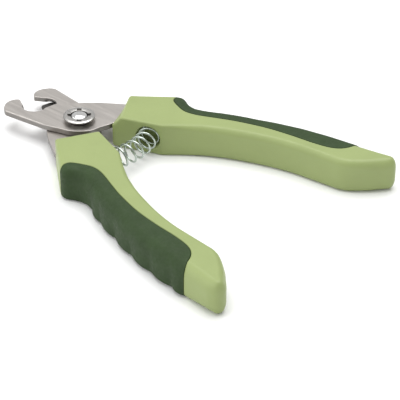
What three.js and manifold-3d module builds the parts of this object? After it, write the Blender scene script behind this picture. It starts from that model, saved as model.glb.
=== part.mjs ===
// Plier-type pet nail trimmer, jaws open and handles spread. Millimetres, +Z up.
// The tool's own plan is drawn from the pivot axis (x = y = 0): +X runs towards the handle ends and
// +Y towards the handle that carries the upper blade. The lower half is its mirror image in Y.
import * as THREE from "three";
import { ConvexGeometry } from "three/addons/geometries/ConvexGeometry.js";
import { mergeVertices } from "three/addons/utils/BufferGeometryUtils.js";
import Module from "manifold-3d";

const wasm = await Module();
wasm.setup();

// Frame
const PIVOT_X = -45.65; // puts the origin under the middle of the open tool
const GAP = 0.3; // clearance between neighbouring solids

// Handles
const HANDLE_THICK = 15;
const HANDLE_BEVEL = 1.2;
const GRIP_SKIN = 2; // thickness of the soft grip around the core
const FRONT_INNER = [13.7, 5.4]; // bolster corner beside the pivot
const FRONT_OUTER = [7.3, 22.4];
const SPRING_FACE = [[19.2, 7.1], [35.6, 13.2]]; // flat that the return spring bears on
const SHOULDER = [[24, 37], [27.4, 38.1], [32, 36.2]]; // thumb bump behind the bolster
const VALLEY = [36.8, 35.6];
const PALM_CURVE = [[43, 18.9], [50, 23.6], [58.6, 28.1], [68, 31.9], [77, 34.9], [87, 37.2], [98, 38.5]];
const HEEL = [[108.6, 39.6], [112.8, 41.2], [119.2, 46.1]];
const TIP = [[122.3, 49.3], [125.2, 52.5], [126.2, 55.1], [124.7, 57.7], [120.9, 58.7]];
const GRIP_END = [107.8, 56.7];
const FINGER_CUSPS = [[100.3, 55.4], [87.9, 53.5], [75.1, 50.3], [62.5, 45.7], [50.9, 41.6], [42.3, 37.3]];
const FINGER_BULGE = 1.2; // height of each finger scallop over its chord
const GRIP_EDGE = [[24.6, 35.6], [25.4, 32.6], [29, 30.5], [35, 28.6], [41, 29.6], [50, 33.5], [58, 36.8],
  [70, 40.5], [82, 42.6], [93, 43.9], [101, 45.9], [105.4, 49.8]];
const FRONT_SLOPE_Z = 10; // height where the sloping front of the bolster starts
const FRONT_SLOPE_TOP = [[8.2, 23.2], [18.6, 6.9]]; // its upper edge, on the top face

// Blades
const BLADE_Z = [7.6, 10]; // upper blade; the lower one is turned over about X
const JAW_BACK = [[-8.3, -12.7], [-29.5, -15.4]];
const HOOK = [[-31.7, -14.2], [-33.8, -11.4], [-34.4, -8.6], [-33.6, -5.9], [-31.7, -4.2]];
const NOTCH = { x: -23.7, y: -3.2, r: 4.9, from: -2.25, bevelR: 6, land: 0.9 };
const THROAT = [-17.6, 2.5];
const BLADE_OUTER = [[-8.6, 11.6], [-2.9, 16.5], [6.5, 22.7]];
const BLADE_HEEL = [12.6, 6.6]; // where the inner edge goes into the handle
const PIVOT_CURVE = [[-2.9, -10.9], [3.6, -8.8], [9.2, -3.8], [10.8, 1.4]];
const TANG_OUTER = [[11, 24], [26, 31], [38, 31.5], [58, 39.8], [72, 44.6]];
const TANG_INNER = [[73.5, 39], [60, 34], [46, 28], [34, 23], [20.5, 20.5], [13.8, 12]];
const TANG_HOLES = [[30, 26.8], [49, 32.6], [66, 39.3]];
const TANG_HOLE_R = 2.2;

// Pivot hardware
const SHANK_R = 3.3;
const NECK_R = 2.2;
const NECK_TOP = 11.7;
const BOLT_HEAD = { r: 6, low: 2.3, high: 3.6 };
const WASHER = { inner: 3.7, outer: 6.2, low: 3.9, high: 4.7 };
const RING = { inner: 3.8, neck: 4.9, outer: 6.9, low: 10.3, flange: 11.8, high: 12.6, chamfer: 0.3 };
const RING_SLOT = { width: 2, depth: 1, radial: 1.3, turn: 43 };
const DOME = { r: 3.5, low: 10.3, side: 11.9, top: 13.1 };
const ROUND_STEPS = 36;

// Return spring and its sockets
const SOCKET = { r: 5.4, depth: 7, along: 0.63 }; // along: place on the spring face, front to back
const COIL_R = 4.3;
const WIRE_R = 0.45;
const COIL_TURNS = 8.5;
const STEPS_PER_TURN = 14;

// Nail stop
const STOP_SCREW = [-11.5, 3];
const STOP_PLATE = { low: 3.5, high: 4.7, width: 7, length: 15.6, corner: 1.8, swing: 166 };
const STOP_WASHER = { outer: 2.7, low: 2.7, high: 3.2 };
const STOP_HEAD = { r: 2.9, low: 1.2, high: 2.4, slot: 0.8 };
const STOP_SHANK = { r: 1.35, hole: 1.65, top: 7.2 };

const MATERIALS = {
  core: { color: 0xb5c087, roughness: 0.45, metalness: 0 },
  grip: { color: 0x46563c, roughness: 0.75, metalness: 0 },
  blade: { color: 0xb5b0a9, roughness: 0.35, metalness: 1 },
  chrome: { color: 0xe2e2df, roughness: 0.12, metalness: 1 },
  hardware: { color: 0xb9b7b2, roughness: 0.3, metalness: 1 },
  spring: { color: 0xc9cec4, roughness: 0.25, metalness: 1 },
};

// ---- shared helpers ----

// A manifold solid of a closed three.js geometry.
function solid(geometry) {
  const bare = geometry.clone();
  bare.deleteAttribute("normal");
  bare.deleteAttribute("uv");
  const merged = mergeVertices(bare, 1e-4);
  return new wasm.Manifold(new wasm.Mesh({
    numProp: 3,
    vertProperties: merged.attributes.position.array,
    triVerts: new Uint32Array(merged.index.array),
  }));
}

function geometryOf(manifold) {
  const { vertProperties, triVerts } = manifold.getMesh();
  const geometry = new THREE.BufferGeometry();
  geometry.setAttribute("position", new THREE.BufferAttribute(vertProperties, 3));
  geometry.setIndex(new THREE.BufferAttribute(triVerts, 1));
  return geometry.toNonIndexed();
}

function vectors(points) {
  return points.map(([x, y]) => new THREE.Vector2(x, y));
}

// The closed outline as points, without the repeated last one.
function outline(shape, divisions = 4) {
  const points = shape.getPoints(divisions);
  const closed = points.at(-1).distanceTo(points[0]) < 1e-6;
  return closed ? points.slice(0, -1) : points;
}

// Moves a counterclockwise outline outwards by distance, mitring its corners.
function grown(points, distance) {
  return points.map((point, i) => {
    const before = point.clone().sub(points.at(i - 1)).normalize();
    const after = points[(i + 1) % points.length].clone().sub(point).normalize();
    const bisector = new THREE.Vector2(before.y + after.y, -before.x - after.x).normalize();
    const cosine = Math.max(bisector.dot(new THREE.Vector2(before.y, -before.x)), 0.5);
    return point.clone().addScaledVector(bisector, distance / cosine);
  });
}

// A straight-sided or bevelled plate between two heights.
function prism(points, low, high, bevel = 0) {
  const geometry = new THREE.ExtrudeGeometry(new THREE.Shape(points), {
    depth: high - low - 2 * bevel,
    bevelEnabled: bevel > 0,
    bevelThickness: bevel,
    bevelSize: bevel,
    bevelOffset: -bevel,
    bevelSegments: 2,
  });
  return solid(geometry.translate(0, 0, low + bevel));
}

function cylinder(x, y, radius, low, high, topRadius = radius) {
  const geometry = new THREE.CylinderGeometry(topRadius, radius, high - low, ROUND_STEPS);
  geometry.rotateX(Math.PI / 2);
  return solid(geometry.translate(x, y, (low + high) / 2));
}

function turned(profile) {
  const geometry = new THREE.LatheGeometry(vectors(profile), ROUND_STEPS);
  return geometry.rotateX(Math.PI / 2);
}

// A flat ring between two radii and two heights.
function ringProfile(inner, outer, low, high) {
  return [[inner, low], [outer, low], [outer, high], [inner, high], [inner, low]];
}

// ---- handles ----

function outerSide(shape, scalloped) {
  shape.lineTo(...GRIP_END);
  if (!scalloped) {
    shape.splineThru(vectors([...FINGER_CUSPS, VALLEY, SHOULDER[2], SHOULDER[1], SHOULDER[0]]));
    return;
  }
  for (const cusp of FINGER_CUSPS) {
    const start = shape.currentPoint.clone();
    const end = new THREE.Vector2(...cusp);
    const along = end.clone().sub(start).normalize();
    const middle = start.clone().add(end).multiplyScalar(0.5);
    middle.addScaledVector(new THREE.Vector2(along.y, -along.x), 2 * FINGER_BULGE);
    shape.quadraticCurveTo(middle.x, middle.y, end.x, end.y);
  }
  shape.splineThru(vectors([VALLEY, SHOULDER[2], SHOULDER[1], SHOULDER[0]]));
}

function handleOutline(scalloped) {
  const shape = new THREE.Shape();
  shape.moveTo(...FRONT_INNER);
  SPRING_FACE.forEach((corner) => shape.lineTo(...corner));
  shape.splineThru(vectors([...PALM_CURVE, ...HEEL]));
  shape.splineThru(vectors(TIP));
  outerSide(shape, scalloped);
  shape.lineTo(...FRONT_OUTER);
  return outline(shape);
}

// Plan area that the soft grip covers, open beyond the outer side.
function gripArea() {
  const shape = new THREE.Shape();
  const beyond = 12;
  shape.moveTo(...GRIP_EDGE[0]);
  shape.splineThru(vectors([...GRIP_EDGE.slice(1), GRIP_END]));
  shape.lineTo(GRIP_END[0] + 1, GRIP_END[1] + beyond);
  shape.lineTo(GRIP_EDGE[0][0] - 1, GRIP_END[1] + beyond);
  return outline(shape);
}

// What the sloping front of the bolster takes off the plain handle.
function frontSlope() {
  const reach = 4;
  const lift = 1;
  const edges = [[[FRONT_OUTER, FRONT_INNER], FRONT_SLOPE_Z], [FRONT_SLOPE_TOP, HANDLE_THICK]];
  const corners = [];
  for (const [[outer, inner], z] of edges) {
    const run = new THREE.Vector2(inner[0] - outer[0], inner[1] - outer[1]).normalize();
    const ends = [[outer[0] - reach * run.x, outer[1] - reach * run.y],
      [inner[0] + reach * run.x, inner[1] + reach * run.y]];
    for (const [x, y] of ends) {
      corners.push(new THREE.Vector3(x, y, z), new THREE.Vector3(x - 5 * reach, y, z));
      if (z === HANDLE_THICK) corners.push(new THREE.Vector3(x, y, z + lift));
    }
  }
  return solid(new ConvexGeometry(corners));
}

function socketPlace() {
  const [start, end] = vectors(SPRING_FACE);
  const along = end.clone().sub(start);
  const centre = start.clone().addScaledVector(along, SOCKET.along);
  const inward = new THREE.Vector2(-along.y, along.x).normalize();
  return { centre, inward };
}

// Blind hole that holds one end of the return spring.
function socketHole() {
  const { centre, inward } = socketPlace();
  const proud = 2;
  const geometry = new THREE.CylinderGeometry(SOCKET.r, SOCKET.r, SOCKET.depth + proud, ROUND_STEPS);
  geometry.rotateZ(Math.atan2(inward.y, inward.x) - Math.PI / 2);
  const middle = centre.clone().addScaledVector(inward, (SOCKET.depth - proud) / 2);
  return solid(geometry.translate(middle.x, middle.y, HANDLE_THICK / 2));
}

// Pocket for the blade's tang, with pegs that pass through the tang's holes.
function tangPocket(low, high) {
  let pocket = prism(grown(bladeOutline(), GAP), low - GAP, high + GAP);
  for (const [x, y] of TANG_HOLES) {
    const peg = cylinder(x, y, TANG_HOLE_R - GAP, low - 2 * GAP, high + 2 * GAP);
    pocket = pocket.subtract(peg);
  }
  return pocket;
}

// Firm bed under the grip: everything behind the outer side, set in by inset on three sides.
function gripBed(inset) {
  const shape = new THREE.Shape();
  shape.moveTo(...TIP.at(-1));
  outerSide(shape, false);
  shape.lineTo(...FRONT_OUTER);
  shape.lineTo(FRONT_OUTER[0], 0);
  shape.lineTo(TIP.at(-1)[0], 0);
  return prism(grown(outline(shape), -inset), inset, HANDLE_THICK - inset);
}

function handleCore(bladeLow, bladeHigh) {
  const recess = prism(grown(gripArea(), GAP), -1, HANDLE_THICK + 1).subtract(gripBed(GRIP_SKIN + GAP));
  const core = prism(handleOutline(false), 0, HANDLE_THICK, HANDLE_BEVEL)
    .subtract(recess)
    .subtract(frontSlope())
    .subtract(socketHole())
    .subtract(tangPocket(bladeLow, bladeHigh));
  return geometryOf(core);
}

function handleGrip() {
  const grip = prism(handleOutline(true), 0, HANDLE_THICK, HANDLE_BEVEL)
    .intersect(prism(gripArea(), -1, HANDLE_THICK + 1))
    .subtract(gripBed(GRIP_SKIN));
  return geometryOf(grip);
}

// ---- blades ----

function bladeOutline() {
  const shape = new THREE.Shape();
  shape.moveTo(...JAW_BACK[1]);
  shape.lineTo(...JAW_BACK[0]);
  shape.splineThru(vectors(PIVOT_CURVE));
  shape.lineTo(...BLADE_HEEL);
  [...TANG_INNER].reverse().forEach((corner) => shape.lineTo(...corner));
  [...TANG_OUTER].reverse().forEach((corner) => shape.lineTo(...corner));
  [...BLADE_OUTER].reverse().forEach((corner) => shape.lineTo(...corner));
  shape.lineTo(...THROAT);
  shape.absarc(NOTCH.x, NOTCH.y, NOTCH.r, 0, NOTCH.from, true);
  shape.lineTo(...HOOK.at(-1));
  shape.splineThru(vectors([...HOOK.slice(0, -1).reverse(), JAW_BACK[1]]));
  return outline(shape, 5);
}

function blade() {
  const [low, high] = BLADE_Z;
  let body = prism(bladeOutline(), low, high)
    .subtract(cylinder(0, 0, SHANK_R + GAP, low - 1, high + 1))
    .subtract(cylinder(NOTCH.x, NOTCH.y, NOTCH.r, low + NOTCH.land, high + 0.01, NOTCH.bevelR));
  for (const [x, y] of TANG_HOLES) {
    body = body.subtract(cylinder(x, y, TANG_HOLE_R, low - 1, high + 1));
  }
  return body;
}

// The lower blade is the same blanking with one more hole, for the nail stop's screw.
function lowerBlade() {
  const [low, high] = BLADE_Z;
  const [x, y] = STOP_SCREW;
  return geometryOf(blade().subtract(cylinder(x, -y, STOP_SHANK.hole, low - 1, high + 1)));
}

// ---- pivot ----

function pivotBolt() {
  return turned([[0, BOLT_HEAD.low], [BOLT_HEAD.r - 0.5, BOLT_HEAD.low], [BOLT_HEAD.r, BOLT_HEAD.low + 0.5],
    [BOLT_HEAD.r, BOLT_HEAD.high], [SHANK_R, BOLT_HEAD.high], [SHANK_R, BLADE_Z[1] - 0.1],
    [NECK_R, BLADE_Z[1] - 0.1], [NECK_R, NECK_TOP], [0, NECK_TOP]]);
}

function notchedRing() {
  const { inner, neck, outer, low, flange, high, chamfer } = RING;
  let ring = solid(turned([[inner, low], [neck, low], [neck, flange], [outer, flange],
    [outer, high - chamfer], [outer - chamfer, high], [inner, high], [inner, low]]));
  for (let quarter = 0; quarter < 4; quarter++) {
    const slot = new THREE.BoxGeometry(2 * RING_SLOT.radial, RING_SLOT.width, 2 * RING_SLOT.depth);
    slot.translate(inner, 0, high);
    slot.rotateZ(THREE.MathUtils.degToRad(90 * quarter + RING_SLOT.turn));
    ring = ring.subtract(solid(slot));
  }
  return geometryOf(ring);
}

function domeNut() {
  const { r, low, side, top } = DOME;
  const bore = NECK_R + GAP;
  const steps = 5;
  const profile = [[0, NECK_TOP + GAP], [bore, NECK_TOP + GAP], [bore, low], [r, low]];
  for (let i = 0; i <= steps; i++) {
    const angle = (i / steps) * (Math.PI / 2);
    profile.push([r * Math.cos(angle), side + (top - side) * Math.sin(angle)]);
  }
  profile.at(-1)[0] = 0;
  return turned(profile);
}

// ---- return spring ----

// A helix whose axis runs straight out of one socket, bends round to the other and runs into it.
class SpringCurve extends THREE.Curve {
  constructor() {
    super();
    const { centre, inward } = socketPlace();
    this.tilt = Math.atan2(inward.y, inward.x) - Math.PI / 2;
    this.bend = centre.y / Math.sin(this.tilt);
    this.bendX = centre.x - this.bend * Math.cos(this.tilt);
    this.straight = SOCKET.depth - WIRE_R - 2 * GAP;
    this.total = 2 * (this.straight + this.bend * this.tilt);
  }

  // Place and sideways direction of the coil's axis, from the +Y socket's floor to the other's.
  axisAt(t) {
    const s = (0.5 - t) * this.total;
    const half = this.bend * this.tilt;
    const angle = Math.min(Math.max(s, -half), half) / this.bend;
    const past = s - angle * this.bend;
    const side = new THREE.Vector3(Math.cos(angle), Math.sin(angle), 0);
    const place = side.clone().multiplyScalar(this.bend);
    place.add(new THREE.Vector3(this.bendX - past * side.y, past * side.x, HANDLE_THICK / 2));
    return { place, side };
  }

  getPoint(t) {
    const { place, side } = this.axisAt(t);
    const turn = 2 * Math.PI * COIL_TURNS * t;
    place.addScaledVector(side, COIL_R * Math.cos(turn));
    place.z += COIL_R * Math.sin(turn);
    return place;
  }
}

function returnSpring() {
  const wire = new THREE.Shape().absarc(0, 0, WIRE_R, 0, 2 * Math.PI);
  return new THREE.ExtrudeGeometry(wire, {
    steps: COIL_TURNS * STEPS_PER_TURN,
    curveSegments: 3,
    extrudePath: new SpringCurve(),
    bevelEnabled: false,
  });
}

// ---- nail stop ----

function stopPlate() {
  const { low, high, width, length, corner, swing } = STOP_PLATE;
  const half = width / 2;
  const shape = new THREE.Shape();
  shape.absarc(0, 0, half, Math.PI / 2, 1.5 * Math.PI);
  shape.lineTo(length - corner, -half);
  shape.absarc(length - corner, -half + corner, corner, -Math.PI / 2, 0);
  shape.absarc(length - corner, half - corner, corner, 0, Math.PI / 2);
  const turn = THREE.MathUtils.degToRad(swing);
  const points = outline(shape).map((point) => point.rotateAround(new THREE.Vector2(), turn));
  return geometryOf(prism(points, low, high).subtract(cylinder(0, 0, STOP_SHANK.hole, low - 1, high + 1)));
}

function stopScrew() {
  const { r, low, high, slot } = STOP_HEAD;
  const body = solid(turned([[0, low], [r - 0.3, low], [r, low + 0.3], [r, high], [STOP_SHANK.r, high],
    [STOP_SHANK.r, STOP_SHANK.top], [0, STOP_SHANK.top]]));
  const cut = new THREE.BoxGeometry(3 * r, slot, slot).translate(0, 0, low);
  return geometryOf(body.subtract(solid(cut)));
}

// ---- assembly ----

const tool = new THREE.Group();
tool.position.x = PIVOT_X;
const upperHalf = new THREE.Group();
const lowerHalf = new THREE.Group();
const nailStop = new THREE.Group();
nailStop.position.set(STOP_SCREW[0], STOP_SCREW[1], 0);
tool.add(upperHalf, lowerHalf, nailStop);

function add(group, name, geometry, look) {
  const mesh = new THREE.Mesh(geometry, new THREE.MeshStandardMaterial(MATERIALS[look]));
  mesh.name = name;
  group.add(mesh);
  return mesh;
}

const lowerBladeZ = BLADE_Z.map((z) => HANDLE_THICK - z).reverse();
add(upperHalf, "upper_blade", geometryOf(blade()), "blade");
add(upperHalf, "upper_handle_core", handleCore(...BLADE_Z), "core");
add(upperHalf, "upper_handle_grip", handleGrip(), "grip");

const turnedOver = add(lowerHalf, "lower_blade", lowerBlade(), "blade");
turnedOver.rotation.x = Math.PI;
turnedOver.position.z = HANDLE_THICK;
add(lowerHalf, "lower_handle_core", handleCore(...lowerBladeZ), "core").scale.y = -1;
add(lowerHalf, "lower_handle_grip", handleGrip(), "grip").scale.y = -1;

add(lowerHalf, "pivot_bolt", pivotBolt(), "hardware");
add(lowerHalf, "pivot_washer",
  turned(ringProfile(WASHER.inner, WASHER.outer, WASHER.low, WASHER.high)), "hardware");
add(lowerHalf, "pivot_notched_ring", notchedRing(), "hardware");
add(lowerHalf, "pivot_dome_nut", domeNut(), "chrome");
add(lowerHalf, "return_spring", returnSpring(), "spring");

add(nailStop, "nail_stop_plate", stopPlate(), "blade");
add(nailStop, "nail_stop_washer",
  turned(ringProfile(STOP_SHANK.hole, STOP_WASHER.outer, STOP_WASHER.low, STOP_WASHER.high)), "hardware");
const screw = add(lowerHalf, "nail_stop_screw", stopScrew(), "hardware");
screw.position.copy(nailStop.position);

export default tool;
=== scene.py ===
"""Finished surfaces of a plier-type pet nail trimmer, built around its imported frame.

Shapes are drawn in millimetres about the pivot axis (x = y = 0): +X runs towards the handle ends and +Y towards
the handle that carries the upper blade. finished() takes each mesh into the row frame, in metres.
"""

import math

import bmesh
import bpy
import numpy as np
from bpy.props import FloatProperty, FloatVectorProperty, IntProperty, PointerProperty
from mathutils import Matrix, Vector


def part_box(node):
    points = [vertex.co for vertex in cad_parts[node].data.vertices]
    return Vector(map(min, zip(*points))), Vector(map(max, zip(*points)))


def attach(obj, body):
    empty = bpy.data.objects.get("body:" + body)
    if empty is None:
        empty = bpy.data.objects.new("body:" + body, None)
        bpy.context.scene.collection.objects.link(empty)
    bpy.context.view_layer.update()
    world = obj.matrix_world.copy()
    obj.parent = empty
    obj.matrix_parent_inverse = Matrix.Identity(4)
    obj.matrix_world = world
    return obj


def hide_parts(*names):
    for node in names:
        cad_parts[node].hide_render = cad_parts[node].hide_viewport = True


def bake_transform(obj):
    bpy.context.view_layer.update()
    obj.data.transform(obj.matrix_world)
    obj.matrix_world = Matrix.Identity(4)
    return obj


bl_info = {
    "name": "Plier Nail Trimmer",
    "version": (1, 0, 0),
    "blender": (4, 5, 0),
    "location": "3D View > Sidebar > Trimmer",
    "description": "Finished surfaces of a plier-type pet nail trimmer",
    "category": "Object",
}

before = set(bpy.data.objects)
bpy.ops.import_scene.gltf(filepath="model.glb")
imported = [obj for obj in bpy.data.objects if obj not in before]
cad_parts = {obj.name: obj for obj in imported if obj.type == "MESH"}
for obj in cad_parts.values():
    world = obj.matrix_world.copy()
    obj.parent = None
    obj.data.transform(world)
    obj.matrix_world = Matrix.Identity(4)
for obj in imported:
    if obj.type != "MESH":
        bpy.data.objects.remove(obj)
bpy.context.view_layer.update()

MM = 0.001
PIVOT_X = -45.65

# Handles
HANDLE_THICK = round(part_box("upper_handle_core")[1].z / MM, 3)
FRONT_INNER, FRONT_OUTER = (13.7, 5.4), (7.3, 22.4)
SLOPE_INNER, SLOPE_OUTER, SLOPE_Z = (18.2, 6.9), (8.2, 23.2), 10.0
SPRING_FACE = [(19.2, 7.1), (35.6, 13.2)]
SHOULDER = [(24, 37), (27.4, 38.1), (32, 36.2)]
VALLEY = (36.8, 35.6)
PALM_CURVE = [(43, 18.9), (50, 23.6), (58.6, 28.1), (68, 31.9), (77, 34.9), (87, 37.2), (98, 38.5)]
HEEL = [(108.6, 39.6), (112.8, 41.2), (119.2, 46.1)]
TIP = [(122.3, 49.3), (125.2, 52.5), (126.2, 55.1), (124.7, 57.7), (120.9, 58.7)]
GRIP_END = (107.8, 56.7)
FINGER_CUSPS = [(100.3, 55.4), (87.9, 53.5), (75.1, 50.3), (62.5, 45.7), (50.9, 41.6), (42.3, 37.3)]
GRIP_EDGE = [(24.6, 35.6), (25.4, 32.6), (29, 30.5), (35, 28.6), (41, 29.6), (50, 33.5), (58, 36.8), (70, 40.5),
             (82, 42.6), (93, 43.9), (101, 45.9), (105.4, 49.8)]
GRIP_CUT_OUT = [(109, 68), (23.6, 68)]  # corners beyond the outer side, from the grip's end to its start
PLAN_CUT_OUT = [(-2, 68), (-2, -5), (135, -5), (135, 68)]  # corners round the whole handle
SEAM_GAP = 0.06  # on each side of the grip's visible seam
HIDDEN_GAP = 0.12  # between pieces where the gap can't be seen
BED_SHIFT = np.array([0.33, -0.94])  # direction from the outer side into the handle
CROWN_STRETCH = 0.08  # how much taller than wide a rounding is, for each millimetre of its width
PLAN_STEP = 0.5  # spacing of the points along a handle's plan
INSET_EASING = 110  # passes that smooth the plan whose normals set the rounded edges in
MIDDLE_HEIGHTS = [2, 4, 5.5, 7, 8.5, SLOPE_Z - 0.4, SLOPE_Z, SLOPE_Z + 0.4, 11.2, 12.5]
SCALLOP_FADE = (3, 13)  # heights between which the finger scallops fade out

# Blades
UPPER_BLADE_Z = (7.6, 10.0)
JAW_BACK = [(-8.3, -12.7), (-29.5, -15.4)]
HOOK = [(-31.7, -14.2), (-33.8, -11.4), (-34.4, -8.6), (-33.6, -5.9), (-31.7, -4.2)]
NOTCH_CENTRE, NOTCH_R, NOTCH_END = (-23.7, -3.2), 4.9, -2.25
THROAT = (-17.6, 2.5)
BLADE_OUTER = [(-8.6, 11.6), (-2.9, 16.5), (6.5, 22.7)]
BLADE_HEEL = (12.6, 6.6)
PIVOT_CURVE = [(-2.9, -10.9), (3.6, -8.8), (9.2, -3.8), (10.8, 1.4)]
TANG_OUTER = [(11, 24), (26, 31), (38, 31.5), (58, 39.8), (72, 44.6)]
TANG_INNER = [(73.5, 39), (60, 34), (46, 28), (34, 23), (20.5, 20.5), (13.8, 12)]
TANG_HOLES = [(30, 26.8), (49, 32.6), (66, 39.3)]
TANG_HOLE_R = 2.2

# Pivot hardware
SHANK_R, NECK_R, NECK_TOP = 3.3, 2.2, 11.7
RING_INNER, RING_NECK, RING_LOW, RING_FLANGE, RING_TOP = 3.8, 4.9, 10.3, 11.8, 12.6
DOME_R, DOME_LOW, DOME_SIDE = 3.5, 10.3, 11.9

# Return spring
SOCKET_R, SOCKET_DEPTH, SOCKET_ALONG = 5.4, 7.0, 0.63

# Nail stop
STOP_SCREW = (-11.5, 3.0)
STOP_PLATE_Z = (3.5, 4.7)
STOP_SHANK_R, STOP_HOLE_R = 1.35, 1.65


class TrimmerSizes(bpy.types.PropertyGroup):
    """Sizes of the finished surfaces."""

    palm_radius: FloatProperty(name="Palm edge radius", description="Rounding of the handles where the palm bears",
                               default=0.0024, min=0.0005, max=0.004, unit="LENGTH")
    cap_radius: FloatProperty(name="End cap radius", description="Rounding of the handle ends",
                              default=0.0042, min=0.001, max=0.005, unit="LENGTH")
    face_radius: FloatProperty(name="Bolster edge radius", description="Rounding beside the pivot and the spring",
                               default=0.0009, min=0.0003, max=0.002, unit="LENGTH")
    crown_radius: FloatProperty(name="Outer crown", description="Rounding from the top over to the outer side",
                                default=0.0045, min=0.001, max=0.005, unit="LENGTH")
    foot_radius: FloatProperty(name="Outer foot", description="Rounding from the outer side under to the underside",
                               default=0.0018, min=0.0005, max=0.004, unit="LENGTH")
    grip_skin: FloatProperty(name="Grip thickness", description="Thickness of the soft grip over its bed",
                             default=0.002, min=0.001, max=0.003, unit="LENGTH")
    finger_bulge: FloatProperty(name="Finger bulge", description="Height of each finger scallop over its chord",
                                default=0.0013, min=0.0, max=0.002, unit="LENGTH")
    seam_radius: FloatProperty(name="Seam rounding", description="Rounding on both sides of the grip's seam",
                               default=0.0004, min=0.0001, max=0.001, unit="LENGTH")
    blade_edge: FloatProperty(name="Blade edge break", description="Rounding of the blades' blanked edges",
                              default=0.00022, min=0.00005, max=0.0005, unit="LENGTH")
    notch_bevel: FloatProperty(name="Notch bevel", description="Width of the ground bevel round the nail notch",
                               default=0.0011, min=0.0002, max=0.002, unit="LENGTH")
    coil_radius: FloatProperty(name="Coil radius", description="Radius of the return spring to its wire's centre",
                               default=0.0043, min=0.003, max=0.0048, unit="LENGTH")
    wire_radius: FloatProperty(name="Wire radius", description="Radius of the return spring's wire",
                               default=0.00045, min=0.0002, max=0.0008, unit="LENGTH")
    coil_turns: FloatProperty(name="Coil turns", description="Number of turns between the two socket floors",
                              default=8.5, min=5.0, max=14.0)
    ring_radius: FloatProperty(name="Ring radius", description="Radius of the notched ring's flange",
                               default=0.0069, min=0.006, max=0.0075, unit="LENGTH")
    ring_notches: IntProperty(name="Ring notches", description="Number of driver notches round the ring's bore",
                              default=4, min=2, max=8)
    notch_turn: FloatProperty(name="Notch turn", description="Angle of the ring's first driver notch",
                              default=math.radians(43), subtype="ANGLE")
    dome_top: FloatProperty(name="Dome height", description="Height of the dome nut's crown over the underside",
                            default=0.0131, min=0.012, max=0.0145, unit="LENGTH")


COLOUR = {"subtype": "COLOR", "size": 3, "min": 0, "max": 1}


class TrimmerColours(bpy.types.PropertyGroup):
    """Colours of the finishes and the floor."""

    plastic: FloatVectorProperty(name="Firm plastic", description="Light green of the handle mouldings",
                                 default=(0.280, 0.340, 0.130), **COLOUR)
    rubber: FloatVectorProperty(name="Soft grip", description="Dark green of the soft grips",
                                default=(0.026, 0.050, 0.015), **COLOUR)
    blade: FloatVectorProperty(name="Blade steel", description="Ground steel of the blades",
                               default=(0.53, 0.50, 0.47), **COLOUR)
    hardware: FloatVectorProperty(name="Turned steel", description="Turned steel of the pivot and the screws",
                                  default=(0.50, 0.49, 0.47), **COLOUR)
    chrome: FloatVectorProperty(name="Bright chrome", description="Polished plating of the dome nut",
                                default=(0.86, 0.86, 0.85), **COLOUR)
    wire: FloatVectorProperty(name="Spring wire", description="Zinc plating of the return spring",
                              default=(0.52, 0.58, 0.54), **COLOUR)
    # Near-black colour of the nail stop's plate: painted shade, for the plate lying in the blades' shadow.
    shade_painted: FloatVectorProperty(name="Shade-painted steel", description="Shade-painted steel of the nail stop's plate",
                                   default=(0.060, 0.058, 0.055), **COLOUR)
    floor: FloatVectorProperty(name="Floor", description="Plain pale floor",
                               default=(0.90, 0.90, 0.90), **COLOUR)


# ---- plans and outlines ----


def spline(points, per_span=12):
    """Points along the uniform Catmull-Rom curve through the given ones, both ends included."""
    p = np.array(points, float)
    before, after = np.vstack([p[:1], p[:-2]]), np.vstack([p[2:], p[-1:]])
    t = np.linspace(0, 1, per_span, endpoint=False)[None, :, None]
    start, end = p[:-1, None, :], p[1:, None, :]
    leave, arrive = (end - before[:, None, :]) / 2, (after[:, None, :] - start) / 2
    curve = (start + leave * t + (3 * (end - start) - 2 * leave - arrive) * t**2
             + (2 * (start - end) + leave + arrive) * t**3)
    return np.vstack([curve.reshape(-1, 2), p[-1:]])


def arc(centre, radius, start, end, steps=32):
    turn = np.linspace(start, end, steps + 1)
    return np.column_stack([centre[0] + radius * np.cos(turn), centre[1] + radius * np.sin(turn)])


def run_length(run):
    return float(np.hypot(*np.diff(np.array(run, float), axis=0).T).sum())


def spaced(run, count):
    """The run as count points at even spacing, without its last one."""
    run = np.array(run, float)
    along = np.concatenate([[0], np.cumsum(np.hypot(*np.diff(run, axis=0).T))])
    places = np.linspace(0, along[-1], count, endpoint=False)
    return np.column_stack([np.interp(places, along, run[:, 0]), np.interp(places, along, run[:, 1])])


def eased(values, passes):
    """Closed list of values, each drawn towards its neighbours: it rounds an outline's corners."""
    values = np.array(values, float)
    for _ in range(passes):
        values = (np.roll(values, 1, 0) + 2 * values + np.roll(values, -1, 0)) / 4
    return values


def outward(points):
    """Outward normals of a closed counterclockwise outline."""
    along = np.roll(points, -1, 0) - np.roll(points, 1, 0)
    normal = np.column_stack([along[:, 1], -along[:, 0]])
    return normal / np.maximum(np.hypot(*normal.T), 1e-9)[:, None]


def bend_radius(points):
    """Radius of each convex bend of a closed outline; concave and straight places get a large one."""
    along = np.roll(points, -1, 0) - points
    back = np.roll(along, 1, 0)
    turn = np.arctan2(back[:, 0] * along[:, 1] - back[:, 1] * along[:, 0], (back * along).sum(1))
    step = (np.hypot(*along.T) + np.hypot(*back.T)) / 2
    return step / np.maximum(turn, 1e-3)


def grown(points, distance):
    """A closed counterclockwise outline moved outwards, with mitred corners."""
    points = np.array(points, float)
    along = np.roll(points, -1, 0) - points
    along /= np.maximum(np.hypot(*along.T), 1e-9)[:, None]
    normal = np.column_stack([along[:, 1], -along[:, 0]])
    before = np.roll(normal, 1, 0)
    bisector = normal + before
    bisector /= np.maximum(np.hypot(*bisector.T), 1e-9)[:, None]
    cosine = np.maximum((bisector * normal).sum(1), 0.5)
    return points + bisector * (distance / cosine)[:, None]


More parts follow.
